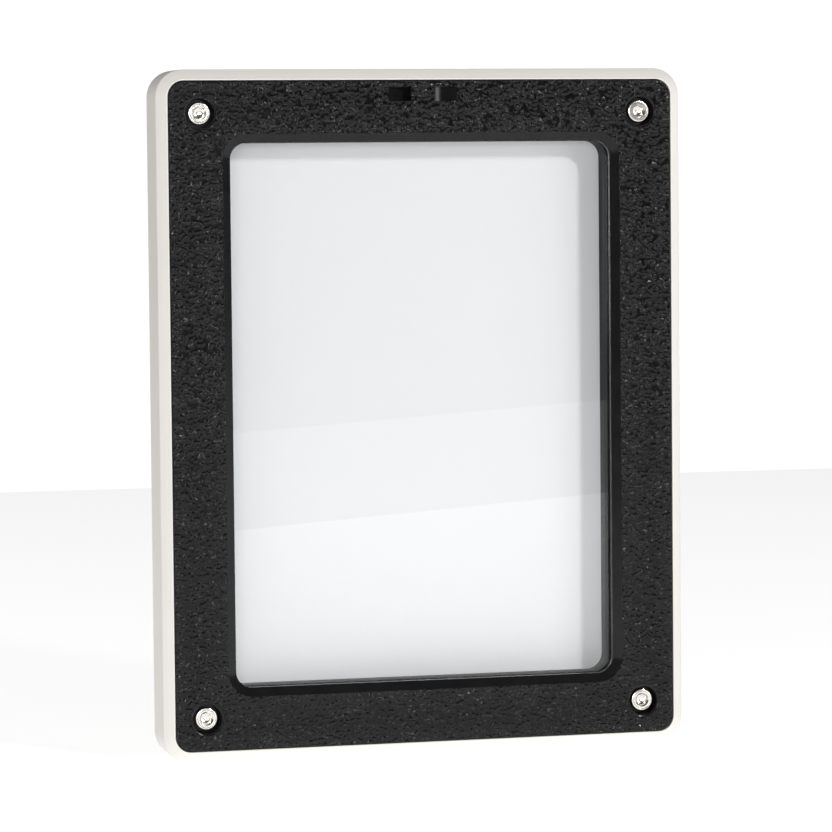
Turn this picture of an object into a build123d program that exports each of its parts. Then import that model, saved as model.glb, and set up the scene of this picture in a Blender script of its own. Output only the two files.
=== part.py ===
from build123d import *
import os

os.makedirs("parts", exist_ok=True)

# A portrait case that stands on its lower edge. X runs to the right, Y to the back and Z up.
# The origin is at the middle of the lower edge. Depths below are measured from the front face.

# Casing
CASE_WIDTH = 200.0
CASE_HEIGHT = 254.0
CASE_CORNER = 10.0
WALL = 4.0
BACK_WALL = 2.0
RIM_LAND = 0.4  # flat strip left at the inner edge of the sloped rim
RIM_FALL = 2.6  # how far the rim slopes back
RIM_EDGE_R = 0.8
REAR_EDGE_R = 1.5

# Cover: bezel, pane and well
COVER_GAP = 0.3
BEZEL_THICK = 12.0
WELL_TAIL = 5.2  # from the back of the bezel to the backing panel
BEZEL_EDGE_R = 0.35
BORDER_SIDE = 23.4  # casing opening to window lip, at the sides
BORDER_END = 22.9  # the same at the top and bottom
LIP_CORNER = 6.0
BEVEL_WIDE = 3.3
BEVEL_DEEP = 2.0
LIP_DEPTH = 4.2  # back of the window lip
SEAL_THICK = 0.5
SEAL_SETBACK = 0.8  # the seal stays this far back from the lip edge
PANE_THICK = 3.0
PANE_LAP = 3.9  # the pane reaches this far behind the lip
PANE_CORNER = 6.0
REBATE_GAP = 0.3
WELL_WALL = 3.9
FLANGE_THICK = 2.0
FLANGE_REACH = 11.4  # from the lip outwards
FLANGE_CORNER = 8.0
FLANGE_BOSS_GAP = 1.0

# Backing
PANEL_THICK = 1.0
PAD_THICK = 0.8
PANEL_LAP_SIDE = 3.4
PANEL_LAP_END = 6.9
PANEL_CORNER = 3.0
PANEL_FENCE_GAP = 0.4
FENCE_THICK = 1.2

# Gasket ledge inside the casing
GASKET_THICK = 0.5
LEDGE_WIDE = 3.0
GASKET_INSET = 0.3

# Corner screws, M5 socket heads
SCREW_INSET = 12.0  # from the casing opening, both ways
SCREW_R = 2.5
TIP_GAP = 0.2  # screw tip short of the tray floor, which makes the screws 12 mm long
HEAD_R = 4.25
HEAD_HIGH = 5.0
HEAD_SINK = 1.8  # head top below the front face
HEAD_EDGE_R = 0.7
HEAD_RING_R = 3.35  # middle of the turned ring in the head top
HEAD_RING_TUBE_R = 0.16
SOCKET_FLATS = 4.0
SOCKET_DEEP = 2.5
SOCKET_CONE = 1.1
SOCKET_MOUTH_R = 2.6
SOCKET_TURN = {"tl": 0.0, "tr": -4.0, "bl": -17.0, "br": -13.0}  # where each screw stopped
TIP_CHAMFER = 0.6
WASHER_THICK = 0.8
WASHER_R = 5.2
THREAD_GAP = 0.05
BORE_R = 2.8
COUNTERBORE_R = 5.5
COUNTERBORE_MOUTH_R = 0.75

# Bosses and threaded inserts in the casing
BOSS_R = 6.0
INSERT_R = 3.5
INSERT_NECK_R = 3.1
INSERT_BAND = 2.2
INSERT_SINK = 0.1
INSERT_LONG = 6.0
TIP_WELL_DEEP = 0.6  # blind hole carried into the back wall below the insert

# Small screws that hold the well frame
CLAMP_OUT = 3.7  # screw line outside the pane rebate
CLAMP_R = 1.5
CLAMP_HOLE_R = 1.7
CLAMP_BITE = 4.0
CLAMP_HEAD_R = 2.75
CLAMP_HEAD_HIGH = 2.0
CLAMP_HEAD_EDGE_R = 0.8
CLAMP_SOCKET_R = 1.15
CLAMP_SOCKET_DEEP = 1.2
CLAMP_SIDE_SPREAD = 0.35  # of the lip height, either side of the middle
CLAMP_END_SPREAD = 0.31  # of the lip width, either side of the middle

# Tether bridge at the top of the bezel
TETHER_REACH = 13.0
TETHER_DEEP = 5.0
TETHER_TALL = 5.2
TETHER_DROP = 2.7  # top of the slots below the top edge of the bezel opening
BRIDGE_HALF = 4.4
BRIDGE_THICK = 2.0

# Wall fixing holes
FIX_HOLE_R = 2.25
FIX_INSET = 10.5  # from the casing opening
FIX_PITCH_Z = 120.0

OPENING_WIDTH = CASE_WIDTH - 2 * WALL
OPENING_HEIGHT = CASE_HEIGHT - 2 * WALL
OPENING_CORNER = CASE_CORNER - WALL
LIP_WIDTH = OPENING_WIDTH - 2 * BORDER_SIDE
LIP_HEIGHT = OPENING_HEIGHT - 2 * BORDER_END
LEDGE_DEPTH = BEZEL_THICK + GASKET_THICK
BOSS_TOP = LEDGE_DEPTH
WELL_BACK = BEZEL_THICK + WELL_TAIL
PANEL_BACK = WELL_BACK + PANEL_THICK
FLOOR = PANEL_BACK + PAD_THICK
CASE_DEPTH = FLOOR + BACK_WALL
PANE_FRONT = LIP_DEPTH + SEAL_THICK
PANE_BACK = PANE_FRONT + PANE_THICK
PANE_WIDTH = LIP_WIDTH + 2 * PANE_LAP
PANE_HEIGHT = LIP_HEIGHT + 2 * PANE_LAP
REBATE_WIDTH = PANE_WIDTH + 2 * REBATE_GAP
REBATE_HEIGHT = PANE_HEIGHT + 2 * REBATE_GAP
REBATE_CORNER = PANE_CORNER + REBATE_GAP
FLANGE_WIDTH = LIP_WIDTH + 2 * FLANGE_REACH
FLANGE_HEIGHT = LIP_HEIGHT + 2 * FLANGE_REACH
PANEL_WIDTH = LIP_WIDTH + 2 * PANEL_LAP_SIDE
PANEL_HEIGHT = LIP_HEIGHT + 2 * PANEL_LAP_END
SCREW_PITCH_X = OPENING_WIDTH - 2 * SCREW_INSET
SCREW_PITCH_Z = OPENING_HEIGHT - 2 * SCREW_INSET
FIX_PITCH_X = OPENING_WIDTH - 2 * FIX_INSET
HEAD_SEAT = HEAD_SINK + HEAD_HIGH
SCREW_TIP = FLOOR - TIP_GAP
COUNTERBORE_FLOOR = HEAD_SEAT + WASHER_THICK

CORNERS = {
    "tl": (-SCREW_PITCH_X / 2, SCREW_PITCH_Z / 2),
    "tr": (SCREW_PITCH_X / 2, SCREW_PITCH_Z / 2),
    "bl": (-SCREW_PITCH_X / 2, -SCREW_PITCH_Z / 2),
    "br": (SCREW_PITCH_X / 2, -SCREW_PITCH_Z / 2),
}


def at(depth):
    """Sketch plane parallel to the front face, seen from the front."""
    origin = (0, depth - CASE_DEPTH / 2, CASE_HEIGHT / 2)
    return Plane(origin=origin, x_dir=(1, 0, 0), z_dir=(0, -1, 0))


def slab(width, height, corner, front, back):
    """Rounded rectangular slab between two depths."""
    outline = RectangleRounded(width, height, corner)
    return extrude(at(back) * outline, back - front)


def pin(x, z, radius, front, back):
    """Round solid between two depths, centred x and z from the middle of the case."""
    return extrude(at(back) * Pos(x, z) * Circle(radius), back - front)


def front_face(solid):
    return solid.faces().sort_by(Axis.Y)[0]


def back_face(solid):
    return solid.faces().sort_by(Axis.Y)[-1]


def rear_tray():
    body = slab(CASE_WIDTH, CASE_HEIGHT, CASE_CORNER, 0, CASE_DEPTH)
    body = fillet(back_face(body).edges(), REAR_EDGE_R)
    rim = front_face(body)
    body = chamfer(rim.edges(), WALL - RIM_LAND, RIM_FALL, reference=rim)
    crest = body.edges().filter_by_position(
        Axis.Y, RIM_FALL - CASE_DEPTH / 2 - 0.01, RIM_FALL - CASE_DEPTH / 2 + 0.01
    )
    body = fillet(crest, RIM_EDGE_R)
    body -= slab(OPENING_WIDTH, OPENING_HEIGHT, OPENING_CORNER, 0, LEDGE_DEPTH)
    cavity_corner = OPENING_CORNER - LEDGE_WIDE
    cavity_width = OPENING_WIDTH - 2 * LEDGE_WIDE
    cavity_height = OPENING_HEIGHT - 2 * LEDGE_WIDE
    body -= slab(cavity_width, cavity_height, cavity_corner, LEDGE_DEPTH, FLOOR)
    body += panel_fence()
    for x, z in CORNERS.values():
        body += pin(x, z, BOSS_R, BOSS_TOP, FLOOR)
    for x, z in CORNERS.values():
        body -= pin(x, z, INSERT_R, BOSS_TOP, BOSS_TOP + INSERT_SINK + INSERT_LONG)
        body -= pin(x, z, BORE_R, BOSS_TOP, FLOOR + TIP_WELL_DEEP)
    for x in (-FIX_PITCH_X / 2, FIX_PITCH_X / 2):
        for z in (-FIX_PITCH_Z / 2, FIX_PITCH_Z / 2):
            body -= pin(x, z, FIX_HOLE_R, FLOOR, CASE_DEPTH)
    return body


def panel_fence():
    """Low rib on the tray floor that keeps the backing panel in place."""
    inner_width = PANEL_WIDTH + 2 * PANEL_FENCE_GAP
    inner_height = PANEL_HEIGHT + 2 * PANEL_FENCE_GAP
    inner_corner = PANEL_CORNER + PANEL_FENCE_GAP
    grow = 2 * FENCE_THICK
    outer = slab(inner_width + grow, inner_height + grow, inner_corner + FENCE_THICK,
                 WELL_BACK, FLOOR)
    return outer - slab(inner_width, inner_height, inner_corner, WELL_BACK, FLOOR)


def threaded_insert(x, z):
    front = BOSS_TOP + INSERT_SINK
    back = front + INSERT_LONG
    body = pin(x, z, INSERT_R, front, front + INSERT_BAND)
    body += pin(x, z, INSERT_NECK_R, front + INSERT_BAND, back - INSERT_BAND)
    body += pin(x, z, INSERT_R, back - INSERT_BAND, back)
    return body - pin(x, z, SCREW_R + THREAD_GAP, front, back)


def backing_panel():
    return slab(PANEL_WIDTH, PANEL_HEIGHT, PANEL_CORNER, WELL_BACK, PANEL_BACK)


def backing_pad():
    return slab(PANEL_WIDTH, PANEL_HEIGHT, PANEL_CORNER, PANEL_BACK, FLOOR)


def perimeter_gasket():
    outer_width = OPENING_WIDTH - 2 * GASKET_INSET
    outer_height = OPENING_HEIGHT - 2 * GASKET_INSET
    inner_width = OPENING_WIDTH - 2 * LEDGE_WIDE + 2 * GASKET_INSET
    inner_height = OPENING_HEIGHT - 2 * LEDGE_WIDE + 2 * GASKET_INSET
    outer = slab(outer_width, outer_height, OPENING_CORNER - GASKET_INSET,
                 BEZEL_THICK, LEDGE_DEPTH)
    inner = slab(inner_width, inner_height, OPENING_CORNER - LEDGE_WIDE + GASKET_INSET,
                 BEZEL_THICK, LEDGE_DEPTH)
    return outer - inner


def tether_cut():
    """One arc cut under a bridge; it shows as two ramped slots with the bridge between."""
    top = CASE_HEIGHT - WALL - TETHER_DROP
    profile_plane = Plane(origin=(0, -CASE_DEPTH / 2, top), x_dir=(1, 0, 0), z_dir=(0, 0, -1))
    chord = Line((-TETHER_REACH, 0), (TETHER_REACH, 0))
    arc = ThreePointArc((TETHER_REACH, 0), (0, -TETHER_DEEP), (-TETHER_REACH, 0))
    segment = extrude(profile_plane * make_face([chord, arc]), TETHER_TALL)
    bridge = Pos(0, -CASE_DEPTH / 2 + BRIDGE_THICK / 2, top - TETHER_TALL / 2) * Box(
        2 * BRIDGE_HALF, BRIDGE_THICK, TETHER_TALL
    )
    return segment - bridge


def clamp_positions():
    side_x = REBATE_WIDTH / 2 + CLAMP_OUT
    end_z = REBATE_HEIGHT / 2 + CLAMP_OUT
    spread_z = CLAMP_SIDE_SPREAD * LIP_HEIGHT
    spread_x = CLAMP_END_SPREAD * LIP_WIDTH
    sides = [(x, z) for x in (-side_x, side_x) for z in (-spread_z, 0, spread_z)]
    ends = [(x, z) for x in (-spread_x, spread_x) for z in (-end_z, end_z)]
    return sides + ends


def front_bezel():
    width = OPENING_WIDTH - 2 * COVER_GAP
    height = OPENING_HEIGHT - 2 * COVER_GAP
    body = slab(width, height, OPENING_CORNER - COVER_GAP, 0, BEZEL_THICK)
    body = fillet(front_face(body).edges(), BEZEL_EDGE_R)
    window = slab(LIP_WIDTH, LIP_HEIGHT, LIP_CORNER, 0, LIP_DEPTH)
    body -= window
    rebate = slab(REBATE_WIDTH, REBATE_HEIGHT, REBATE_CORNER, LIP_DEPTH, BEZEL_THICK)
    body -= rebate
    face = front_face(body)
    body = chamfer(face.inner_wires()[0].edges(), BEVEL_WIDE, BEVEL_DEEP, reference=face)
    for x, z in CORNERS.values():
        body -= pin(x, z, COUNTERBORE_R, 0, COUNTERBORE_FLOOR)
        body -= pin(x, z, BORE_R, COUNTERBORE_FLOOR, BEZEL_THICK)
    mouths = front_face(body).inner_wires().sort_by(SortBy.LENGTH)[:4]
    body = fillet([edge for mouth in mouths for edge in mouth.edges()], COUNTERBORE_MOUTH_R)
    for x, z in clamp_positions():
        body -= pin(x, z, CLAMP_R, BEZEL_THICK - CLAMP_BITE, BEZEL_THICK)
    return body - tether_cut()


def pane_seal():
    outer = slab(PANE_WIDTH, PANE_HEIGHT, PANE_CORNER, LIP_DEPTH, PANE_FRONT)
    inner = slab(LIP_WIDTH + 2 * SEAL_SETBACK, LIP_HEIGHT + 2 * SEAL_SETBACK,
                 LIP_CORNER + SEAL_SETBACK, LIP_DEPTH, PANE_FRONT)
    return outer - inner


def clear_pane():
    return slab(PANE_WIDTH, PANE_HEIGHT, PANE_CORNER, PANE_FRONT, PANE_BACK)


def well_frame():
    wall_width = LIP_WIDTH + 2 * WELL_WALL
    wall_height = LIP_HEIGHT + 2 * WELL_WALL
    body = slab(wall_width, wall_height, LIP_CORNER + WELL_WALL, PANE_BACK, WELL_BACK)
    flange = slab(FLANGE_WIDTH, FLANGE_HEIGHT, FLANGE_CORNER,
                  BEZEL_THICK, BEZEL_THICK + FLANGE_THICK)
    for x, z in CORNERS.values():
        flange -= pin(x, z, BOSS_R + FLANGE_BOSS_GAP, BEZEL_THICK, BEZEL_THICK + FLANGE_THICK)
    for x, z in clamp_positions():
        flange -= pin(x, z, CLAMP_HOLE_R, BEZEL_THICK, BEZEL_THICK + FLANGE_THICK)
    body += flange
    return body - slab(LIP_WIDTH, LIP_HEIGHT, LIP_CORNER, PANE_BACK, WELL_BACK)


def clamp_screw(x, z):
    seat = BEZEL_THICK + FLANGE_THICK
    head_back = seat + CLAMP_HEAD_HIGH
    head = pin(x, z, CLAMP_HEAD_R, seat, head_back)
    head = fillet(back_face(head).edges(), CLAMP_HEAD_EDGE_R)
    head -= pin(x, z, CLAMP_SOCKET_R, head_back - CLAMP_SOCKET_DEEP, head_back)
    return head + pin(x, z, CLAMP_R, BEZEL_THICK - CLAMP_BITE, seat)


def corner_screw(x, z, turn):
    head = pin(x, z, HEAD_R, HEAD_SINK, HEAD_SEAT)
    head = fillet(front_face(head).edges(), HEAD_EDGE_R)
    shank = pin(x, z, SCREW_R, HEAD_SEAT, SCREW_TIP)
    shank = chamfer(back_face(shank).edges(), TIP_CHAMFER)
    floor = HEAD_SINK + SOCKET_DEEP
    socket_outline = RegularPolygon(SOCKET_FLATS / 2, 6, major_radius=False, rotation=turn)
    socket = extrude(at(floor) * Pos(x, z) * socket_outline, SOCKET_DEEP)
    drill_point = at(floor + SOCKET_CONE / 2) * Pos(x, z, 0) * Cone(
        0.0, SOCKET_FLATS / 2, SOCKET_CONE
    )
    mouth_deep = SOCKET_MOUTH_R - SOCKET_FLATS / 2
    mouth = at(HEAD_SINK + mouth_deep / 2) * Pos(x, z, 0) * Cone(
        SOCKET_FLATS / 2, SOCKET_MOUTH_R, mouth_deep
    )
    ring = at(HEAD_SINK) * Pos(x, z, 0) * Torus(HEAD_RING_R, HEAD_RING_TUBE_R)
    return head + shank - socket - drill_point - mouth - ring


def captive_washer(x, z):
    ring = pin(x, z, WASHER_R, HEAD_SEAT, COUNTERBORE_FLOOR)
    return ring - pin(x, z, SCREW_R + THREAD_GAP, HEAD_SEAT, COUNTERBORE_FLOOR)


export_step(rear_tray(), "parts/rear_tray.step")
export_step(backing_panel(), "parts/backing_panel.step")
export_step(backing_pad(), "parts/backing_pad.step")
export_step(perimeter_gasket(), "parts/perimeter_gasket.step")
export_step(front_bezel(), "parts/front_bezel.step")
export_step(pane_seal(), "parts/pane_seal.step")
export_step(clear_pane(), "parts/clear_pane.step")
export_step(well_frame(), "parts/well_frame.step")
clamp_group = Compound(children=[clamp_screw(x, z) for x, z in clamp_positions()])
export_step(clamp_group, "parts/clamp_screws.step")
for name, (x, z) in CORNERS.items():
    export_step(threaded_insert(x, z), f"parts/threaded_insert_{name}.step")
    export_step(captive_washer(x, z), f"parts/captive_washer_{name}.step")
    screw = corner_screw(x, z, SOCKET_TURN[name])
    export_step(screw, f"parts/corner_screw_{name}.step")
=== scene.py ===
import math
from collections import namedtuple

import bmesh
import bpy
from mathutils import Matrix, Vector


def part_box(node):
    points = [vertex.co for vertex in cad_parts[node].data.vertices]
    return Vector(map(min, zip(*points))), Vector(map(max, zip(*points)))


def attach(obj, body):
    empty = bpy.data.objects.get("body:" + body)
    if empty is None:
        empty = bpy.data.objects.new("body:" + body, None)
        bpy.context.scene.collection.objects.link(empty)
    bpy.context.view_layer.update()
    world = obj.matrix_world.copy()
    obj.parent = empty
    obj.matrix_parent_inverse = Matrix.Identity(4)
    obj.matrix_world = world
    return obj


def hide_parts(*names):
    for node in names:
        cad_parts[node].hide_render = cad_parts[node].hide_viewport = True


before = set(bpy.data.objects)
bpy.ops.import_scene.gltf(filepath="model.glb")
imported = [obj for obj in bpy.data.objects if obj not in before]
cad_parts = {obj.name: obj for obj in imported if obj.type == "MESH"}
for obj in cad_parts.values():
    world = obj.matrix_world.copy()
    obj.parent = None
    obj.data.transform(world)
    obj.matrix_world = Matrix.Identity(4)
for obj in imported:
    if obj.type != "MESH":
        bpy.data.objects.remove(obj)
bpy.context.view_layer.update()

# A screw-shut display frame: white casing, black grained bezel, clear pane, white backing.
# Sizes are in millimetres and depths are measured back from the front face.

MM = 0.001
CORNER_NAMES = ("tl", "tr", "bl", "br")
CORNER_STEPS = 14
ARC_STEPS = 4

case_low, case_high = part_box("rear_tray")
FRONT = case_low.y
CASE_DEPTH = (case_high.y - case_low.y) / MM
MIDDLE_Z = (case_low.z + case_high.z) / 2
FACING = Matrix.Rotation(math.pi / 2, 4, "X")

Outline = namedtuple("Outline", "half_width half_height corner")


def depth_of(node):
    """Front and back of a CAD node, as depths."""
    low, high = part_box(node)
    return (low.y - FRONT) / MM, (high.y - FRONT) / MM


def outline_of(node, corner):
    """A CAD node's outline seen from the front, with the corner radius given."""
    low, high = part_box(node)
    return Outline((high.x - low.x) / 2 / MM, (high.z - low.z) / 2 / MM, corner)


def grown(outline, offset):
    """An outline moved outwards all round, corners too."""
    return Outline(*(side + offset for side in outline))


def centre_of(node):
    """Where a round node's axis crosses the front face, measured from the middle of the case."""
    low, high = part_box(node)
    return (low.x + high.x) / 2 / MM, ((low.z + high.z) / 2 - MIDDLE_Z) / MM


# Outlines and depths that several pieces share

CASE = outline_of("rear_tray", 10.0)
BEZEL = outline_of("front_bezel", 5.7)
PANE = outline_of("clear_pane", 6.0)
PANE_LAP = 3.9
LIP = Outline(PANE.half_width - PANE_LAP, PANE.half_height - PANE_LAP, 6.0)
REBATE = grown(PANE, 0.3)
PANEL = outline_of("backing_panel", 3.0)
BEZEL_BACK = depth_of("front_bezel")[1]
SEAL_FRONT = depth_of("pane_seal")[0]
PANE_BACK, WELL_BACK = depth_of("well_frame")
FLOOR = depth_of("backing_pad")[1]
LEDGE = depth_of("perimeter_gasket")[1]
WALL = 4.0
LEDGE_WIDE = 3.0
HEAD_TOP, SCREW_TIP = depth_of("corner_screw_tl")
HEAD_SEAT, COUNTERBORE_FLOOR = depth_of("captive_washer_tl")
INSERT_FRONT, INSERT_BACK = depth_of("threaded_insert_tl")
CLAMP_TIP, CLAMP_HEAD_BACK = depth_of("clamp_screws")
CLAMP_HEAD_HIGH = 2.0
FLANGE_BACK = CLAMP_HEAD_BACK - CLAMP_HEAD_HIGH
SCREW_CENTRES = {name: centre_of(f"corner_screw_{name}") for name in CORNER_NAMES}

FLANGE_REACH = 11.4
FLANGE = Outline(LIP.half_width + FLANGE_REACH, LIP.half_height + FLANGE_REACH, 8.0)

# Sizes of single kinds of piece

RIM_DEPTH = 2.6
FENCE_GAP = 0.4
FENCE_OUTSIDE = 1.6
BOSS_RADIUS = 6.0
FIXING_RADIUS = 2.25
BEVEL_DEPTH = 2.0
BEVEL_WIDTH = 3.3
TETHER_TOP = 120.3
TETHER_TALL = 5.2
TETHER_REACH = 13.0
TETHER_DEPTH = 5.0
BRIDGE_HALF_WIDTH = 4.4
BRIDGE_THICK = 2.0
INSERT_RADIUS = 3.5
INSERT_WAIST_RADIUS = 3.1
INSERT_BAND = 2.2
CLEAR_BORE_RADIUS = 2.55
WASHER_RADIUS = 5.2
HEAD_RADIUS = 4.25
HEAD_STEPS = 120
HEX_HALF_FLATS = 2.0
SHANK_RADIUS = 2.5
THREAD_PITCH = 0.8
THREAD_TURNS = 11
BORE_RADIUS = 2.8
COUNTERBORE_RADIUS = 5.5
MOUTH_RADIUS = 0.75
CLAMP_RADIUS = 1.5
CLAMP_HEAD_RADIUS = 2.75
GRAIN_SIZE = 1.45
GRAIN_DEPTH = 0.48
SOCKET_TURN = {"tl": 0.0, "tr": -4.0, "bl": -17.0, "br": -13.0}
FIXING_X = 85.5
FIXING_Z = 60.0
FIXING_HOLES = [(x, z) for x in (-FIXING_X, FIXING_X) for z in (-FIXING_Z, FIXING_Z)]


def clamp_positions():
    """Where the clamp screws stand round the rebate, as x and z."""
    gap = 3.7
    side_x, end_z = REBATE.half_width + gap, REBATE.half_height + gap
    spread_z, spread_x = 0.7 * LIP.half_height, 0.62 * LIP.half_width
    sides = [(x, z) for x in (-side_x, side_x) for z in (-spread_z, 0, spread_z)]
    return sides + [(x, z) for x in (-spread_x, spread_x) for z in (-end_z, end_z)]


# Mesh helpers


def corner_arc(before, here, after, radius):
    """Points of the arc that rounds one corner of a flat section."""
    if radius == 0:
        return [here]
    to_before = (before - here).normalized()
    to_after = (after - here).normalized()
    half = to_before.angle(to_after) / 2
    centre = here + (to_before + to_after).normalized() * radius / math.sin(half)
    start = here + to_before * radius / math.tan(half) - centre
    end = here + to_after * radius / math.tan(half) - centre
    turn = math.atan2(start.x * end.y - start.y * end.x, start.dot(end))
    steps = range(ARC_STEPS + 1)
    return [centre + Matrix.Rotation(turn * i / ARC_STEPS, 2) @ start for i in steps]


def rounded_section(points, radii, closed):
    """Each corner of a section as a list of arc points."""
    arcs = []
    for i, (here, radius) in enumerate(zip(points, radii)):
        at_end = not closed and i in (0, len(points) - 1)
        after = points[(i + 1) % len(points)]
        arcs.append(corner_arc(points[i - 1], here, after, 0 if at_end else radius))
    return arcs


def edge_layer(bm):
    """The vertex value that says where an edge is rounded, for the finishes to rub."""
    return bm.verts.layers.float.get("edge") or bm.verts.layers.float.new("edge")


def add_outline(bm, line, order):
    """A rounded rectangle parallel to the front face. order keeps it apart from the others."""
    place = Matrix.Translation((0, FRONT + order * MM, MIDDLE_Z)) @ FACING
    size = Matrix.Diagonal((line.half_width * MM, line.half_height * MM, 1, 1))
    corners = bmesh.ops.create_grid(bm, x_segments=1, y_segments=1, size=1, matrix=place @ size)
    rounded = bmesh.ops.bevel(
        bm, geom=corners["verts"], offset=line.corner * MM, offset_type="OFFSET",
        segments=CORNER_STEPS, profile=0.5, affect="VERTICES", material=-1,
    )
    return rounded["verts"][0].link_faces[0]


def ring_solid(bm, section, closed=True):
    """Joins rounded rectangles into a solid. A section point is outline, offset, depth, radius.
    An open section ends in two flat caps."""
    edge = edge_layer(bm)
    points = [Vector((line.half_width + offset, depth)) for line, offset, depth, _ in section]
    arcs = rounded_section(points, [radius for *_, radius in section], closed)
    faces = []
    depths = {}
    for (line, _, _, radius), arc in zip(section, arcs):
        for point in arc:
            face = add_outline(bm, grown(line, point.x - line.half_width), len(faces))
            faces.append(face)
            for vert in face.verts:
                vert[edge] = 1.0 if radius else 0.0
                depths[vert] = point.y
    rings = [list(face.edges) for face in faces]
    bmesh.ops.delete(bm, geom=faces if closed else faces[1:-1], context="FACES_ONLY")
    for near, far in zip(rings, rings[1:] + (rings[:1] if closed else [])):
        bmesh.ops.bridge_loops(bm, edges=near + far)
    for vert, depth in depths.items():
        vert.co.y = FRONT + depth * MM


def turned(bm, centre, profile, steps=64, loop=False):
    """Spins a profile about an axis that runs front to back. A point is radius, depth, fillet."""
    edge = edge_layer(bm)
    points = [Vector((radius, depth)) for radius, depth, _ in profile]
    arcs = rounded_section(points, [fillet for *_, fillet in profile], closed=loop)
    axis = Vector((centre[0] * MM, FRONT, MIDDLE_Z + centre[1] * MM))
    verts = []
    for (_, _, fillet), arc in zip(profile, arcs):
        for point in arc:
            vert = bm.verts.new(axis + Vector((point.x, point.y, 0)) * MM)
            vert[edge] = 1.0 if fillet else 0.0
            verts.append(vert)
    edges = [bm.edges.new(pair) for pair in zip(verts, verts[1:] + (verts[:1] if loop else []))]
    bmesh.ops.spin(
        bm, geom=verts + edges, cent=axis, axis=(0, 1, 0), dvec=(0, 0, 0),
        angle=math.tau, steps=steps, use_merge=True, use_normal_flip=False, use_duplicate=False,
    )
    bmesh.ops.remove_doubles(bm, verts=bm.verts, dist=0.0005 * MM)


def block(bm, low, high):
    """A box between two corners given as x, depth and z from the middle of the case."""
    size = [(b - a) * MM for a, b in zip(low, high)]
    x, depth, z = [(a + b) / 2 * MM for a, b in zip(low, high)]
    place = Matrix.Translation((x, FRONT + depth, MIDDLE_Z + z))
    bmesh.ops.create_cube(bm, size=1, matrix=place @ Matrix.Diagonal((*size, 1)))


def solid(bm, name="tool"):
    """The object for a finished bmesh, with every face outwards."""
    bmesh.ops.recalc_face_normals(bm, faces=bm.faces)
    mesh = bpy.data.meshes.new(name)
    bm.to_mesh(mesh)
    bm.free()
    thing = bpy.data.objects.new(name, mesh)
    bpy.context.scene.collection.objects.link(thing)
    return thing


def combined(thing, tool, operation):
    """Cuts a tool's shape from thing, or joins it on. The tool is used up."""
    step = thing.modifiers.new("shape", "BOOLEAN")
    step.operation = operation
    step.solver = "EXACT"
    step.object = tool
    depsgraph = bpy.context.evaluated_depsgraph_get()
    result = bpy.data.meshes.new_from_object(thing.evaluated_get(depsgraph))
    thing.modifiers.clear()
    spent = [thing.data, tool.data]
    thing.data = result
    bpy.data.objects.remove(tool)
    for mesh in spent:
        bpy.data.meshes.remove(mesh)


def piece(thing, nodes, body, finish, sharp=32):
    """Finishes a shape as a piece that rides on a body in place of its CAD nodes."""
    thing.data.name = thing.name
    thing.data.materials.clear()
    thing.data.materials.append(finish)
    thing.data.shade_smooth()
    thing.data.set_sharp_from_angle(angle=math.radians(sharp))
    normals = thing.modifiers.new("flat faces stay flat", "WEIGHTED_NORMAL")
    normals.keep_sharp = True
    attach(thing, body)
    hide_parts(*nodes)


# Material helpers


def add(tree, kind, inputs=None, **settings):
    """A shader node with its settings, and its inputs set or linked."""
    node = tree.nodes.new("ShaderNode" + kind)
    for key, value in settings.items():
        setattr(node, key, value)
    for key, value in (inputs or {}).items():
        if isinstance(value, bpy.types.NodeSocket):
            tree.links.new(value, node.inputs[key])
        else:
            node.inputs[key].default_value = value
    return node


def calc(tree, operation, a, b):
    return add(tree, "Math", {0: a, 1: b}, operation=operation).outputs[0]


def mapped(tree, value, low, high, to_low=0.0, to_high=1.0, smooth=False):
    """value, stretched from one span to another."""
    inputs = {
        "Value": value, "From Min": low, "From Max": high, "To Min": to_low, "To Max": to_high
    }
    kind = "SMOOTHSTEP" if smooth else "LINEAR"
    return add(tree, "MapRange", inputs, interpolation_type=kind).outputs[0]


def tinted(tree, share, a, b):
    """Colour a, going over to colour b."""
    return add(tree, "Mix", {0: share, 6: a, 7: b}, data_type="RGBA").outputs[2]


def new_group(name, values, results):
    """An empty shader group with named values in and results out."""
    group = bpy.data.node_groups.new(name, "ShaderNodeTree")
    for label, value in values.items():
        socket = group.interface.new_socket(label, in_out="INPUT", socket_type="NodeSocketFloat")
        socket.default_value = value
    for label in results:
        group.interface.new_socket(label, in_out="OUTPUT", socket_type="NodeSocketFloat")
    given = group.nodes.new("NodeGroupInput").outputs
    return group, given, group.nodes.new("NodeGroupOutput").inputs


def placed(tree, group, values=None):
    """A group in a material, with this material's own values."""
    node = tree.nodes.new("ShaderNodeGroup")
    node.node_tree = group
    for key, value in (values or {}).items():
        node.inputs[key].default_value = value
    return node.outputs


def new_material(name):
    material = bpy.data.materials.new(name)
    material.use_nodes = True
    material.node_tree.nodes.clear()
    return material, material.node_tree


def shade(tree, **inputs):
    """A Principled surface as the material's result."""
    shader = add(tree, "BsdfPrincipled", {key.replace("_", " "): v for key, v in inputs.items()})
    add(tree, "OutputMaterial", {"Surface": shader.outputs[0]})


def bumped(tree, height, depth):
    """A normal from a height, where a height of 1 stands depth millimetres proud."""
    inputs = {"Height": height, "Distance": depth * MM, "Strength": 1.0}
    return add(tree, "Bump", inputs).outputs["Normal"]


# Effects that several finishes share


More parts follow.
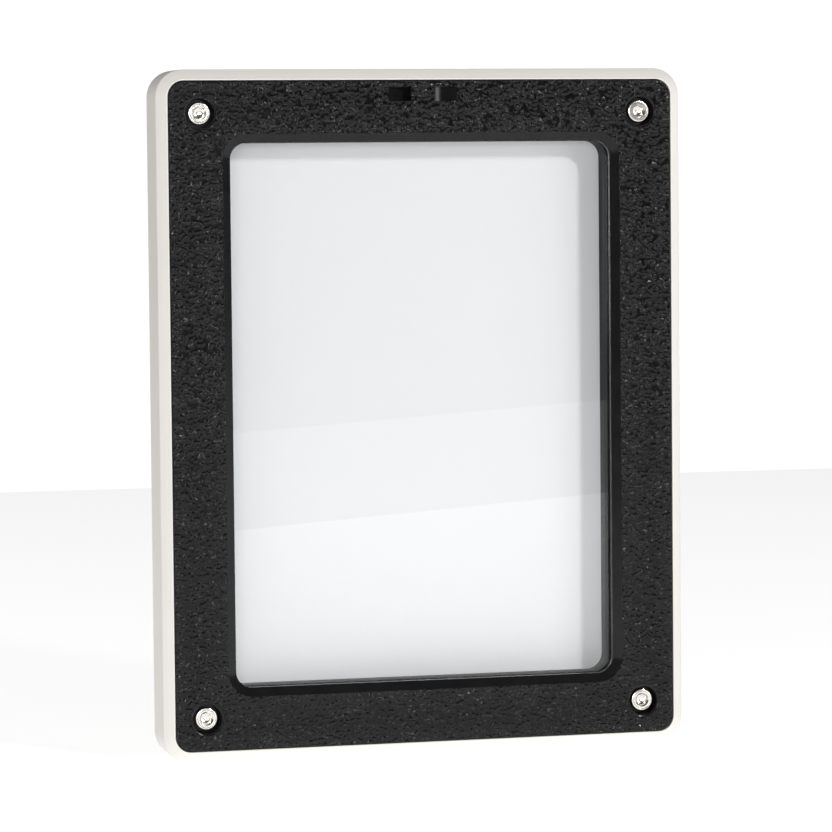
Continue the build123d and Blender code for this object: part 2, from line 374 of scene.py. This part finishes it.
def make_worm_grain():
    """Beads drawn out into short worms, on the face in the front plane and nowhere else."""
    group, given, result = new_group(
        "worm grain", {"Front": 0.0, "Fade": 0.0001, "Size": 0.001}, ["Height", "Mask"]
    )
    place = add(group, "TexCoord").outputs["Object"]
    per_metre = calc(group, "DIVIDE", 1.0, given["Size"])
    drift_scale, drift_reach = 0.45, 1.0 * MM
    coarse = calc(group, "MULTIPLY", per_metre, drift_scale)
    drift = add(group, "TexNoise", {"Vector": place, "Scale": coarse, "Detail": 0.0})
    centred = add(
        group, "VectorMath", {0: drift.outputs["Color"], 1: (0.5, 0.5, 0.5)}, operation="SUBTRACT"
    )
    push = add(
        group, "VectorMath", {0: centred.outputs[0], "Scale": drift_reach}, operation="SCALE"
    )
    bent = add(group, "VectorMath", {0: place, 1: push.outputs[0]}).outputs[0]
    beads = add(
        group, "TexVoronoi", {"Vector": bent, "Scale": per_metre, "Smoothness": 0.5},
        feature="SMOOTH_F1",
    )
    valley, top = 0.70, 0.05
    height = mapped(group, beads.outputs["Distance"], valley, top, smooth=True)
    depth = add(group, "SeparateXYZ", {"Vector": place}).outputs["Y"]
    sunk = calc(group, "DIVIDE", calc(group, "SUBTRACT", depth, given["Front"]), given["Fade"])
    mask = mapped(group, sunk, 0.3, 1.0, 1.0, 0.0)
    group.links.new(calc(group, "MULTIPLY", height, mask), result["Height"])
    group.links.new(mask, result["Mask"])
    return group


def make_fine_tooth():
    """Very fine even tooth."""
    group, given, result = new_group("fine tooth", {"Size": 0.0003}, ["Height"])
    place = add(group, "TexCoord").outputs["Object"]
    scale = calc(group, "DIVIDE", 1.0, given["Size"])
    grain = add(group, "TexNoise", {"Vector": place, "Scale": scale, "Detail": 3.0})
    group.links.new(grain.outputs["Fac"], result["Height"])
    return group


def make_handling():
    """Broad soft unevenness from cleaning and handling."""
    group, given, result = new_group("handling", {"Low": 0.3, "High": 0.5}, ["Value"])
    place = add(group, "TexCoord").outputs["Object"]
    cloud = add(group, "TexNoise", {"Vector": place, "Scale": 28.0, "Detail": 4.0})
    spread = mapped(group, cloud.outputs["Fac"], 0.3, 0.7, given["Low"], given["High"])
    group.links.new(spread, result["Value"])
    return group


def make_rubbed_edge():
    """Rounded edges that hands have rubbed, broken up a little."""
    group, given, result = new_group("rubbed edge", {"Amount": 0.5}, ["Mask"])
    edge = add(group, "Attribute", attribute_name="edge").outputs["Fac"]
    place = add(group, "TexCoord").outputs["Object"]
    breaks = add(group, "TexNoise", {"Vector": place, "Scale": 160.0, "Detail": 3.0})
    worn = mapped(group, breaks.outputs["Fac"], 0.35, 0.65, 0.35, 1.0)
    rubbed = calc(group, "MULTIPLY", calc(group, "MULTIPLY", edge, worn), given["Amount"])
    group.links.new(rubbed, result["Mask"])
    return group


def make_turning_marks():
    """Fine rings left by the lathe round each corner screw's axis."""
    group, given, result = new_group("turning marks", {"Size": 0.0001}, ["Height"])
    place = add(group, "TexCoord").outputs["Object"]
    lifted = add(group, "VectorMath", {0: place, 1: (0, 0, -MIDDLE_Z)}).outputs[0]
    folded = add(group, "VectorMath", {0: lifted}, operation="ABSOLUTE").outputs[0]
    x, z = SCREW_CENTRES["tr"]
    own = add(group, "VectorMath", {0: folded, 1: (-x * MM, 0, -z * MM)}).outputs[0]
    parts = add(group, "SeparateXYZ", {"Vector": own}).outputs
    square = calc(
        group, "ADD", calc(group, "POWER", parts["X"], 2.0), calc(group, "POWER", parts["Z"], 2.0)
    )
    radius = calc(group, "SQRT", square, 0.0)
    turn = calc(group, "MULTIPLY", calc(group, "DIVIDE", radius, given["Size"]), math.tau)
    group.links.new(calc(group, "SINE", turn, 0.0), result["Height"])
    return group


worm_grain = make_worm_grain()
fine_tooth = make_fine_tooth()
handling = make_handling()
rubbed_edge = make_rubbed_edge()
turning_marks = make_turning_marks()


# Finishes


def plastic(name, colour, rubbed, rough, tooth, depth, wear=0.4, ior=1.5):
    """Moulded or machined plastic with a fine tooth and softly rubbed edges.
    rough is the lowest and highest roughness; tooth and depth are in millimetres."""
    material, tree = new_material(name)
    share = placed(tree, rubbed_edge, {"Amount": wear})["Mask"]
    shade(
        tree,
        Base_Color=tinted(tree, share, (*colour, 1), (*rubbed, 1)),
        Roughness=placed(tree, handling, {"Low": rough[0], "High": rough[1]})["Value"],
        Normal=bumped(tree, placed(tree, fine_tooth, {"Size": tooth * MM})["Height"], depth),
        IOR=ior,
    )
    return material


def grained_black():
    """The bezel: worm-like grain in front, smooth where it was cut. The grain's pits carry painted
    shade, a darker base colour where the height is low.
    """
    material, tree = new_material("grained black")
    grain = placed(tree, worm_grain, {"Front": FRONT, "Fade": 0.05 * MM, "Size": GRAIN_SIZE * MM})
    share = placed(tree, rubbed_edge, {"Amount": 0.35})["Mask"]
    # Painted shade: the base colour goes from dark to near black down into the pits between the
    # beads, where shade falls.
    painted_pit_shade = calc(tree, "SUBTRACT", grain["Mask"], grain["Height"])
    shaded_grain_colour = tinted(tree, painted_pit_shade, (0.006, 0.006, 0.0068, 1), (0.0002, 0.0002, 0.0002, 1))
    tooth = placed(tree, fine_tooth, {"Size": 0.25 * MM})["Height"]
    height = calc(tree, "ADD", grain["Height"], calc(tree, "MULTIPLY", tooth, 0.005))
    gloss = placed(tree, handling, {"Low": 0.15, "High": 0.19})["Value"]
    shade(
        tree,
        Base_Color=tinted(tree, share, shaded_grain_colour, (0.020, 0.020, 0.021, 1)),
        Roughness=gloss,
        Normal=bumped(tree, height, GRAIN_DEPTH),
        IOR=1.35,
    )
    return material


def clear_sheet():
    """Clear acrylic. Lamps shine straight through it."""
    material, tree = new_material("clear acrylic")
    haze = placed(tree, handling, {"Low": 0.0, "High": 0.012})["Value"]
    glass = add(
        tree, "BsdfPrincipled",
        {"Base Color": (0.985, 0.99, 0.99, 1), "Roughness": haze, "IOR": 1.49,
         "Transmission Weight": 1.0},
    )
    open_air = add(tree, "BsdfTransparent", {"Color": (0.96, 0.965, 0.965, 1)})
    path = add(tree, "LightPath").outputs
    lets_by = calc(tree, "MAXIMUM", path["Is Shadow Ray"], path["Is Diffuse Ray"])
    mixed = add(tree, "MixShader", {0: lets_by, 1: glass.outputs[0], 2: open_air.outputs[0]})
    add(tree, "OutputMaterial", {"Surface": mixed.outputs[0]})
    return material


def metal(name, colour, rough, marks, size, depth):
    """Turned or plated metal with fine marks and faint smudges."""
    material, tree = new_material(name)
    height = placed(tree, marks, {"Size": size * MM})["Height"]
    share = placed(tree, handling, {"Low": 0.0, "High": 1.0})["Value"]
    dull = tuple(part * 0.9 for part in colour)
    shade(
        tree,
        Base_Color=tinted(tree, share, (*colour, 1), (*dull, 1)),
        Metallic=1.0,
        Roughness=placed(tree, handling, {"Low": rough[0], "High": rough[1]})["Value"],
        Normal=bumped(tree, height, depth),
    )
    return material


def pad_foam():
    """Closed-cell grey foam."""
    material, tree = new_material("grey pad foam")
    place = add(tree, "TexCoord").outputs["Object"]
    cells = add(tree, "TexVoronoi", {"Vector": place, "Scale": 1600.0})
    depth = mapped(tree, cells.outputs["Distance"], 0.0, 0.7)
    shade(
        tree,
        Base_Color=tinted(tree, depth, (0.10, 0.10, 0.105, 1), (0.19, 0.19, 0.195, 1)),
        Roughness=placed(tree, handling, {"Low": 0.85, "High": 0.95})["Value"],
        Normal=bumped(tree, depth, 0.15),
    )
    return material


WHITE_CASING = plastic(
    "white casing", (0.84, 0.805, 0.76), (0.87, 0.84, 0.80), (0.42, 0.55), 0.35, 0.006
)
WHITE_PANEL = plastic(
    "white panel", (0.93, 0.93, 0.95), (0.94, 0.94, 0.95), (0.7, 0.8), 0.5, 0.004, wear=0.2
)
GRAINED_BLACK = grained_black()
SMOOTH_BLACK = plastic(
    "smooth black", (0.006, 0.006, 0.007), (0.016, 0.016, 0.017), (0.5, 0.6), 0.3, 0.006, ior=1.25
)
RUBBER = plastic("black rubber", (0.02, 0.02, 0.02), (0.035, 0.035, 0.035), (0.7, 0.85), 0.2, 0.01)
NYLON = plastic("black nylon", (0.015, 0.015, 0.015), (0.03, 0.03, 0.03), (0.45, 0.6), 0.2, 0.006)
FOAM = pad_foam()
CLEAR = clear_sheet()
POLISHED_STEEL = metal(
    "polished steel", (0.90, 0.87, 0.83), (0.12, 0.22), turning_marks, 0.12, 0.0012
)
ZINC_STEEL = metal("zinc-plated steel", (0.62, 0.63, 0.66), (0.28, 0.42), fine_tooth, 0.2, 0.004)
BRASS = metal("brass", (0.78, 0.58, 0.27), (0.25, 0.38), fine_tooth, 0.2, 0.004)


# Housing


def make_rear_tray():
    """White casing: sloped rim, ledge, floor with fence and bosses, wall fixing holes."""
    cavity = -WALL - LEDGE_WIDE
    bm = bmesh.new()
    ring_solid(bm, [
        (CASE, cavity - 1, FLOOR, 0),
        (CASE, cavity, FLOOR, 0.5),
        (CASE, cavity, LEDGE, 0.2),
        (CASE, -WALL, LEDGE, 0.3),
        (CASE, -WALL, 0, 0.12),
        (CASE, -WALL + 0.4, 0, 0.15),
        (CASE, -1.7, 1.25, 1.0),
        (CASE, 0, RIM_DEPTH, 0.8),
        (CASE, 0, CASE_DEPTH, 1.5),
        (CASE, -4, CASE_DEPTH, 0),
    ], closed=False)
    tray = solid(bm, "rear_tray_shell")
    raised = bmesh.new()
    ring_solid(raised, [
        (PANEL, FENCE_GAP, WELL_BACK, 0.2),
        (PANEL, FENCE_OUTSIDE, WELL_BACK, 0.2),
        (PANEL, FENCE_OUTSIDE, FLOOR + 0.5, 0),
        (PANEL, FENCE_GAP, FLOOR + 0.5, 0),
    ])
    for centre in SCREW_CENTRES.values():
        turned(raised, centre, [
            (0, LEDGE, 0), (BOSS_RADIUS, LEDGE, 0.3), (BOSS_RADIUS, FLOOR + 0.5, 0),
            (0, FLOOR + 0.5, 0),
        ])
    combined(tray, solid(raised), "UNION")
    holes = bmesh.new()
    for centre in SCREW_CENTRES.values():
        turned(holes, centre, [
            (0, LEDGE - 1, 0), (INSERT_RADIUS, LEDGE - 1, 0), (INSERT_RADIUS, INSERT_BACK, 0),
            (BORE_RADIUS, INSERT_BACK, 0), (BORE_RADIUS, FLOOR + 0.6, 0), (0, FLOOR + 0.6, 0),
        ])
    for centre in FIXING_HOLES:
        turned(holes, centre, [
            (0, FLOOR - 1, 0), (FIXING_RADIUS, FLOOR - 1, 0),
            (FIXING_RADIUS, CASE_DEPTH - 0.35, 0), (FIXING_RADIUS + 0.45, CASE_DEPTH + 0.1, 0),
            (0, CASE_DEPTH + 0.1, 0),
        ], steps=48)
    combined(tray, solid(holes), "DIFFERENCE")
    piece(tray, ["rear_tray"], "housing", WHITE_CASING)


def make_flat_sheet(name, node, outline, edge, body, finish):
    """A flat rounded sheet with broken edges, where its CAD node is."""
    front, back = depth_of(node)
    cap = -2
    bm = bmesh.new()
    ring_solid(bm, [
        (outline, cap, front, 0), (outline, 0, front, edge),
        (outline, 0, back, edge), (outline, cap, back, 0),
    ], closed=False)
    piece(solid(bm, name), [node], body, finish)


def make_flat_ring(name, node, inner, outer, edge, body, finish):
    """A flat rounded frame with broken edges. inner and outer are outline and offset."""
    front, back = depth_of(node)
    bm = bmesh.new()
    ring_solid(bm, [(*inner, front, edge), (*outer, front, edge), (*outer, back, edge),
                    (*inner, back, edge)])
    piece(solid(bm, name), [node], body, finish)


def make_insert(name, centre):
    """Brass insert with two knurled bands and a waist."""
    front_band = INSERT_FRONT + INSERT_BAND
    back_band = INSERT_BACK - INSERT_BAND
    steps = 96
    bm = bmesh.new()
    turned(bm, centre, [
        (CLEAR_BORE_RADIUS, INSERT_FRONT, 0.2), (INSERT_RADIUS, INSERT_FRONT, 0.2),
        (INSERT_RADIUS, front_band, 0.15), (INSERT_WAIST_RADIUS, front_band, 0),
        (INSERT_WAIST_RADIUS, back_band, 0), (INSERT_RADIUS, back_band, 0.15),
        (INSERT_RADIUS, INSERT_BACK, 0.2), (CLEAR_BORE_RADIUS, INSERT_BACK, 0.2),
    ], steps=steps, loop=True)
    press_grooves(bm.verts, centre, steps, 2, INSERT_RADIUS - 0.2, 0.18)
    piece(
        solid(bm, f"brass_insert_{name}"), [f"threaded_insert_{name}"], "housing", BRASS
    )


def press_grooves(verts, centre, steps, every, outside, deep):
    """Pushes every few columns of a turned shape inwards, as straight knurling does."""
    axis = Vector((centre[0] * MM, 0, MIDDLE_Z + centre[1] * MM))
    for vert in verts:
        arm = Vector((vert.co.x, 0, vert.co.z)) - axis
        column = round(math.atan2(arm.z, arm.x) / math.tau * steps)
        if arm.length > outside * MM and column % every == 0:
            vert.co -= arm.normalized() * deep * MM


# Cover


def make_bezel():
    """Black bezel: bevelled window, counterbored corners and a tether slot under a bridge."""
    bm = bmesh.new()
    ring_solid(bm, [
        (LIP, 0, BEVEL_DEPTH, 0.35),
        (LIP, BEVEL_WIDTH, 0, 0.35),
        (BEZEL, 0, 0, 0.35),
        (BEZEL, 0, BEZEL_BACK, 0.2),
        (REBATE, 0, BEZEL_BACK, 0.2),
        (REBATE, 0, SEAL_FRONT, 0),
        (LIP, 0, SEAL_FRONT, 0.15),
    ])
    bezel = solid(bm, "black_bezel")
    bores = bmesh.new()
    reach = COUNTERBORE_RADIUS + MOUTH_RADIUS
    mouth = 0.02
    for centre in SCREW_CENTRES.values():
        turned(bores, centre, [
            (0, -1, 0), (reach, -1, 0), (reach, mouth, 0),
            (COUNTERBORE_RADIUS, mouth, MOUTH_RADIUS),
            (COUNTERBORE_RADIUS, COUNTERBORE_FLOOR, 0.1), (BORE_RADIUS, COUNTERBORE_FLOOR, 0.15),
            (BORE_RADIUS, BEZEL_BACK + 1, 0), (0, BEZEL_BACK + 1, 0),
        ], steps=96)
    for centre in clamp_positions():
        turned(bores, centre, [
            (0, CLAMP_TIP, 0), (CLAMP_RADIUS, CLAMP_TIP, 0), (CLAMP_RADIUS, BEZEL_BACK + 1, 0),
            (0, BEZEL_BACK + 1, 0),
        ], steps=32)
    combined(bezel, solid(bores), "DIFFERENCE")
    combined(bezel, tether_slot(), "DIFFERENCE")
    piece(bezel, ["front_bezel"], "cover", GRAINED_BLACK)


def tether_slot():
    """The shape of the slot: a shallow arc that runs behind a bridge."""
    radius = (TETHER_REACH ** 2 + TETHER_DEPTH ** 2) / (2 * TETHER_DEPTH)
    height = MIDDLE_Z + (TETHER_TOP - TETHER_TALL / 2) * MM
    middle = Vector((0, FRONT + (TETHER_DEPTH - radius) * MM, height))
    bm = bmesh.new()
    bmesh.ops.create_cone(
        bm, cap_ends=True, segments=360, radius1=radius * MM, radius2=radius * MM,
        depth=TETHER_TALL * MM, matrix=Matrix.Translation(middle),
    )
    slot = solid(bm)
    bridge = bmesh.new()
    block(
        bridge, (-BRIDGE_HALF_WIDTH, -40, TETHER_TOP - TETHER_TALL - 1),
        (BRIDGE_HALF_WIDTH, BRIDGE_THICK, TETHER_TOP + 1),
    )
    combined(slot, solid(bridge), "DIFFERENCE")
    return slot


def make_well_frame():
    """Black frame behind the pane: the well's wall and a screwed flange."""
    bm = bmesh.new()
    ring_solid(bm, [
        (LIP, 0, PANE_BACK, 0.15),
        (LIP, PANE_LAP, PANE_BACK, 0.2),
        (LIP, PANE_LAP, BEZEL_BACK, 0),
        (FLANGE, 0, BEZEL_BACK, 0.2),
        (FLANGE, 0, FLANGE_BACK, 0.3),
        (LIP, PANE_LAP, FLANGE_BACK, 0.5),
        (LIP, PANE_LAP, WELL_BACK, 0.3),
        (LIP, 0, WELL_BACK, 0.15),
    ])
    well = solid(bm, "well_frame_moulding")
    cuts = bmesh.new()
    front, back = BEZEL_BACK - 1, FLANGE_BACK + 1
    notches = [(centre, BOSS_RADIUS + 1, 64) for centre in SCREW_CENTRES.values()]
    holes = [(centre, CLAMP_RADIUS + 0.2, 32) for centre in clamp_positions()]
    for centre, radius, steps in notches + holes:
        through = [(0, front, 0), (radius, front, 0), (radius, back, 0), (0, back, 0)]
        turned(cuts, centre, through, steps)
    combined(well, solid(cuts), "DIFFERENCE")
    piece(well, ["well_frame"], "cover", SMOOTH_BLACK)


def make_clamp_screws():
    """Small cross-recess screws round the well frame, all alike."""
    bm = bmesh.new()
    turned(bm, (0, 0), [
        (0, CLAMP_TIP, 0),
        (CLAMP_RADIUS - 0.4, CLAMP_TIP, 0),
        (CLAMP_RADIUS, CLAMP_TIP + 0.5, 0),
        (CLAMP_RADIUS, FLANGE_BACK, 0),
        (CLAMP_HEAD_RADIUS, FLANGE_BACK, 0.15),
        (CLAMP_HEAD_RADIUS, CLAMP_HEAD_BACK, 0.8),
        (0, CLAMP_HEAD_BACK, 0),
    ], steps=40)
    screw = solid(bm)
    for half_x, half_z in ((1.5, 0.3), (0.3, 1.5)):
        recess = bmesh.new()
        floor, above = CLAMP_HEAD_BACK - 1.2, CLAMP_HEAD_BACK + 1
        block(recess, (-half_x, floor, -half_z), (half_x, above, half_z))
        combined(screw, solid(recess), "DIFFERENCE")
    whole = bmesh.new()
    for x, z in clamp_positions():
        one = screw.data.copy()
        turn = Matrix.Rotation(math.radians(37 * x + 53 * z), 4, "Y")
        middle = Matrix.Translation((0, 0, MIDDLE_Z))
        one.transform(Matrix.Translation((x * MM, 0, z * MM)) @ middle @ turn @ middle.inverted())
        whole.from_mesh(one)
        bpy.data.meshes.remove(one)
    bpy.data.objects.remove(screw)
    piece(solid(whole, "clamp_screw_set"), ["clamp_screws"], "cover", ZINC_STEEL)


# Corner screws and washers


def make_washer(name, centre):
    """Black nylon washer that keeps the screw in the cover."""
    bm = bmesh.new()
    turned(bm, centre, [
        (CLEAR_BORE_RADIUS, HEAD_SEAT, 0.15),
        (WASHER_RADIUS, HEAD_SEAT, 0.2),
        (WASHER_RADIUS, COUNTERBORE_FLOOR, 0.2),
        (CLEAR_BORE_RADIUS, COUNTERBORE_FLOOR, 0.15),
    ], steps=72, loop=True)
    piece(
        solid(bm, f"nylon_washer_{name}"), [f"captive_washer_{name}"], f"washer_{name}",
        NYLON,
    )


def make_corner_screw(name, centre):
    """Polished socket-head screw: knurled head, turned ring, hex socket and a real thread."""
    plain, core = SHANK_RADIUS - 0.05, SHANK_RADIUS - 0.45
    ring, ring_half = 3.35, 0.16
    bm = bmesh.new()
    turned(bm, centre, [
        (0, HEAD_TOP, 0),
        (ring - ring_half, HEAD_TOP, 0),
        (ring, HEAD_TOP + ring_half, 0.05),
        (ring + ring_half, HEAD_TOP, 0.04),
        (HEAD_RADIUS, HEAD_TOP, 0.65),
        (HEAD_RADIUS, HEAD_SEAT, 0.2),
        (plain, HEAD_SEAT, 0),
        (plain, HEAD_SEAT + 1.2, 0),
        (core, HEAD_SEAT + 1.6, 0),
        (core, SCREW_TIP - 0.5, 0),
        (core - 0.5, SCREW_TIP, 0),
        (0, SCREW_TIP, 0),
    ], steps=HEAD_STEPS)
    knurl_head(bm, centre)
    screw = solid(bm, f"socket_screw_{name}")
    combined(screw, hex_socket(centre, SOCKET_TURN[name]), "DIFFERENCE")
    drill = bmesh.new()
    radius, floor = HEX_HALF_FLATS - 0.02, HEAD_TOP + 2.5
    turned(drill, centre, [
        (0, HEAD_TOP - 0.1, 0), (2.7, HEAD_TOP - 0.1, 0), (radius, HEAD_TOP + 0.62, 0),
        (radius, floor, 0), (0, floor + 1.1, 0),
    ], steps=60)
    combined(screw, solid(drill), "DIFFERENCE")
    whole = bmesh.new()
    whole.from_mesh(screw.data)
    cut_thread(whole, centre)
    bpy.data.objects.remove(screw)
    piece(
        solid(whole, f"socket_screw_{name}"), [f"corner_screw_{name}"], f"screw_{name}",
        POLISHED_STEEL, sharp=40,
    )


def knurl_head(bm, centre):
    """Straight knurling on the side of the head, below the rounded top edge."""
    axis = Vector((centre[0] * MM, 0, MIDDLE_Z + centre[1] * MM))
    side = [
        vert for vert in bm.verts
        if (Vector((vert.co.x, 0, vert.co.z)) - axis).length > (HEAD_RADIUS - 0.05) * MM
        and vert.co.y > FRONT + (HEAD_TOP + 0.6) * MM
    ]
    press_grooves(side, centre, HEAD_STEPS, 3, 0, 0.16)


def hex_socket(centre, turn):
    """The shape of the hex socket, turned in degrees about the screw's axis."""
    bm = bmesh.new()
    middle = (centre[0] * MM, FRONT + (HEAD_TOP + 1.0) * MM, MIDDLE_Z + centre[1] * MM)
    place = Matrix.Translation(middle) @ FACING @ Matrix.Rotation(math.radians(turn), 4, "Z")
    corner_radius = HEX_HALF_FLATS / math.cos(math.radians(30))
    bmesh.ops.create_cone(
        bm, cap_ends=True, segments=6, radius1=corner_radius * MM, radius2=corner_radius * MM,
        depth=3.0 * MM, matrix=place,
    )
    return solid(bm)


def cut_thread(bm, centre):
    """One ridge wound along the shank, with flat ends."""
    root, crest = SHANK_RADIUS - 0.6, SHANK_RADIUS
    start, steps = HEAD_SEAT + 1.7, 36
    axis = Vector((centre[0] * MM, FRONT, MIDDLE_Z + centre[1] * MM))
    corners = [(root, 0), (crest, 0.3), (crest, 0.4), (root, 0.7)]
    verts = [
        bm.verts.new(axis + Vector((radius, start + depth, 0)) * MM) for radius, depth in corners
    ]
    edges = [bm.edges.new(pair) for pair in zip(verts, verts[1:] + verts[:1])]
    wound = bmesh.ops.spin(
        bm, geom=verts + edges, cent=axis, axis=(0, 1, 0),
        dvec=(0, THREAD_PITCH * MM / steps, 0), angle=math.tau * THREAD_TURNS,
        steps=THREAD_TURNS * steps,
        use_merge=False, use_duplicate=False, use_normal_flip=False,
    )
    last = [part for part in wound["geom_last"] if isinstance(part, bmesh.types.BMEdge)]
    bmesh.ops.contextual_create(bm, geom=edges)
    bmesh.ops.contextual_create(bm, geom=last)


make_rear_tray()
make_flat_sheet(
    "white_backing_panel", "backing_panel", PANEL, 0.15, "housing", WHITE_PANEL
)
make_flat_sheet("foam_backing_pad", "backing_pad", PANEL, 0.2, "housing", FOAM)
make_flat_ring(
    "rubber_gasket", "perimeter_gasket", (CASE, 0.3 - WALL - LEDGE_WIDE), (CASE, -0.3 - WALL),
    0.15, "housing", RUBBER,
)
make_bezel()
make_flat_ring(
    "pane_seal_strip", "pane_seal", (LIP, 0.8), (PANE, 0), 0.12, "cover", RUBBER
)
make_flat_sheet("acrylic_pane", "clear_pane", PANE, 0.3, "cover", CLEAR)
make_well_frame()
make_clamp_screws()
for corner, centre in SCREW_CENTRES.items():
    make_insert(corner, centre)
    make_washer(corner, centre)
    make_corner_screw(corner, centre)


# Stage: pale floor, soft lamps and the camera


def glowing(name, colour, glow):
    """Matt pale board with a little light of its own."""
    material, tree = new_material(name)
    shade(
        tree, Base_Color=(*colour, 1), Roughness=0.9, Emission_Color=(1, 1, 1, 1),
        Emission_Strength=glow,
    )
    return material


def board(name, corners, finish, seen=True):
    """A flat board between four corners on the stage, seen directly or only in reflections."""
    bm = bmesh.new()
    bm.faces.new([bm.verts.new(corner) for corner in corners])
    flat = solid(bm, name)
    flat.data.materials.append(finish)
    flat.visible_camera = seen


def soft_lamp(name, place, aim, size, power):
    lamp = bpy.data.lights.new(name, "AREA")
    lamp.shape = "RECTANGLE"
    lamp.size, lamp.size_y = size
    lamp.energy = power
    holder = bpy.data.objects.new(name, lamp)
    holder.location = place
    holder.rotation_euler = (Vector(aim) - Vector(place)).to_track_quat("-Z", "Y").to_euler()
    bpy.context.scene.collection.objects.link(holder)


# Each lamp's name, place, aim, width and height, and power
LAMPS = [
    ("key", (0.75, -1.30, 0.75), (0, 0, 0.20), (0.14, 0.14), 7.5),
    ("front", (-0.50, -2.6, 0.36), (0, 0, 0.13), (1.6, 0.6), 20),
    ("right", (1.7, -1.9, 0.5), (0, 0, 0.13), (1.0, 0.9), 7),
    ("left fill", (-1.5, 0.1, 0.7), (0, 0, 0.13), (0.9, 0.9), 5.5),
    ("overhead", (0, 0.5, 1.7), (0, 0.4, 0), (2.2, 1.8), 5),
]


def lay_the_boards():
    """A pale floor behind and beside the frame, and two darker boards that only the pane shows."""
    pale = glowing("pale floor", (0.60, 0.60, 0.60), 0.755)
    grey = glowing("grey table", (0.2, 0.2, 0.2), 0.35)
    dark = glowing("dark table", (0.02, 0.02, 0.02), 0.03)
    board("floor", [(-3, 1.134, 0), (3.0, -2.867, 0), (3.0, 1.3, 0), (-3, 1.3, 0)], pale)
    board(
        "grey_table",
        [(-4, 1.6, -0.001), (3.2, -4.2, -0.001), (3.4, -2.6, -0.001), (-4, 2.2, -0.001)],
        grey, seen=False,
    )
    board(
        "dark_table",
        [(-30, -60, -0.002), (40, -60, -0.002), (40, 4, -0.002), (-30, 4, -0.002)],
        dark, seen=False,
    )


def dim_room():
    """A dim room that looks white where the camera sees it directly."""
    world = bpy.data.worlds.new("room")
    world.use_nodes = True
    tree = world.node_tree
    tree.nodes.clear()
    seen = add(tree, "LightPath").outputs["Is Camera Ray"]
    dim = add(tree, "Background", {"Color": (1, 1, 1, 1), "Strength": 0.08})
    white = add(tree, "Background", {"Color": (1, 1, 1, 1), "Strength": 1.05})
    mixed = add(tree, "MixShader", {0: seen, 1: dim.outputs[0], 2: white.outputs[0]})
    add(tree, "OutputWorld", {"Surface": mixed.outputs[0]})
    bpy.context.scene.world = world


def place_camera():
    azimuth, elevation, roll = (math.radians(angle) for angle in (14.74, 3.39, -0.536))
    distance = 1.5039
    aim = Vector((-0.0038, FRONT, 0.1257))
    away = Vector((
        -math.sin(azimuth) * math.cos(elevation),
        -math.cos(azimuth) * math.cos(elevation),
        math.sin(elevation),
    ))
    camera = bpy.data.cameras.new("camera")
    camera.lens = 175.58
    camera.sensor_width = 36
    camera.clip_end = 100
    holder = bpy.data.objects.new("camera", camera)
    facing = (-away).to_track_quat("-Z", "Y").to_matrix().to_4x4()
    holder.matrix_world = (
        Matrix.Translation(aim + away * distance) @ facing @ Matrix.Rotation(roll, 4, "Z")
    )
    bpy.context.scene.collection.objects.link(holder)
    bpy.context.scene.camera = holder


lay_the_boards()
for lamp in LAMPS:
    soft_lamp(*lamp)
dim_room()
place_camera()
bpy.context.scene.view_settings.view_transform = "Standard"
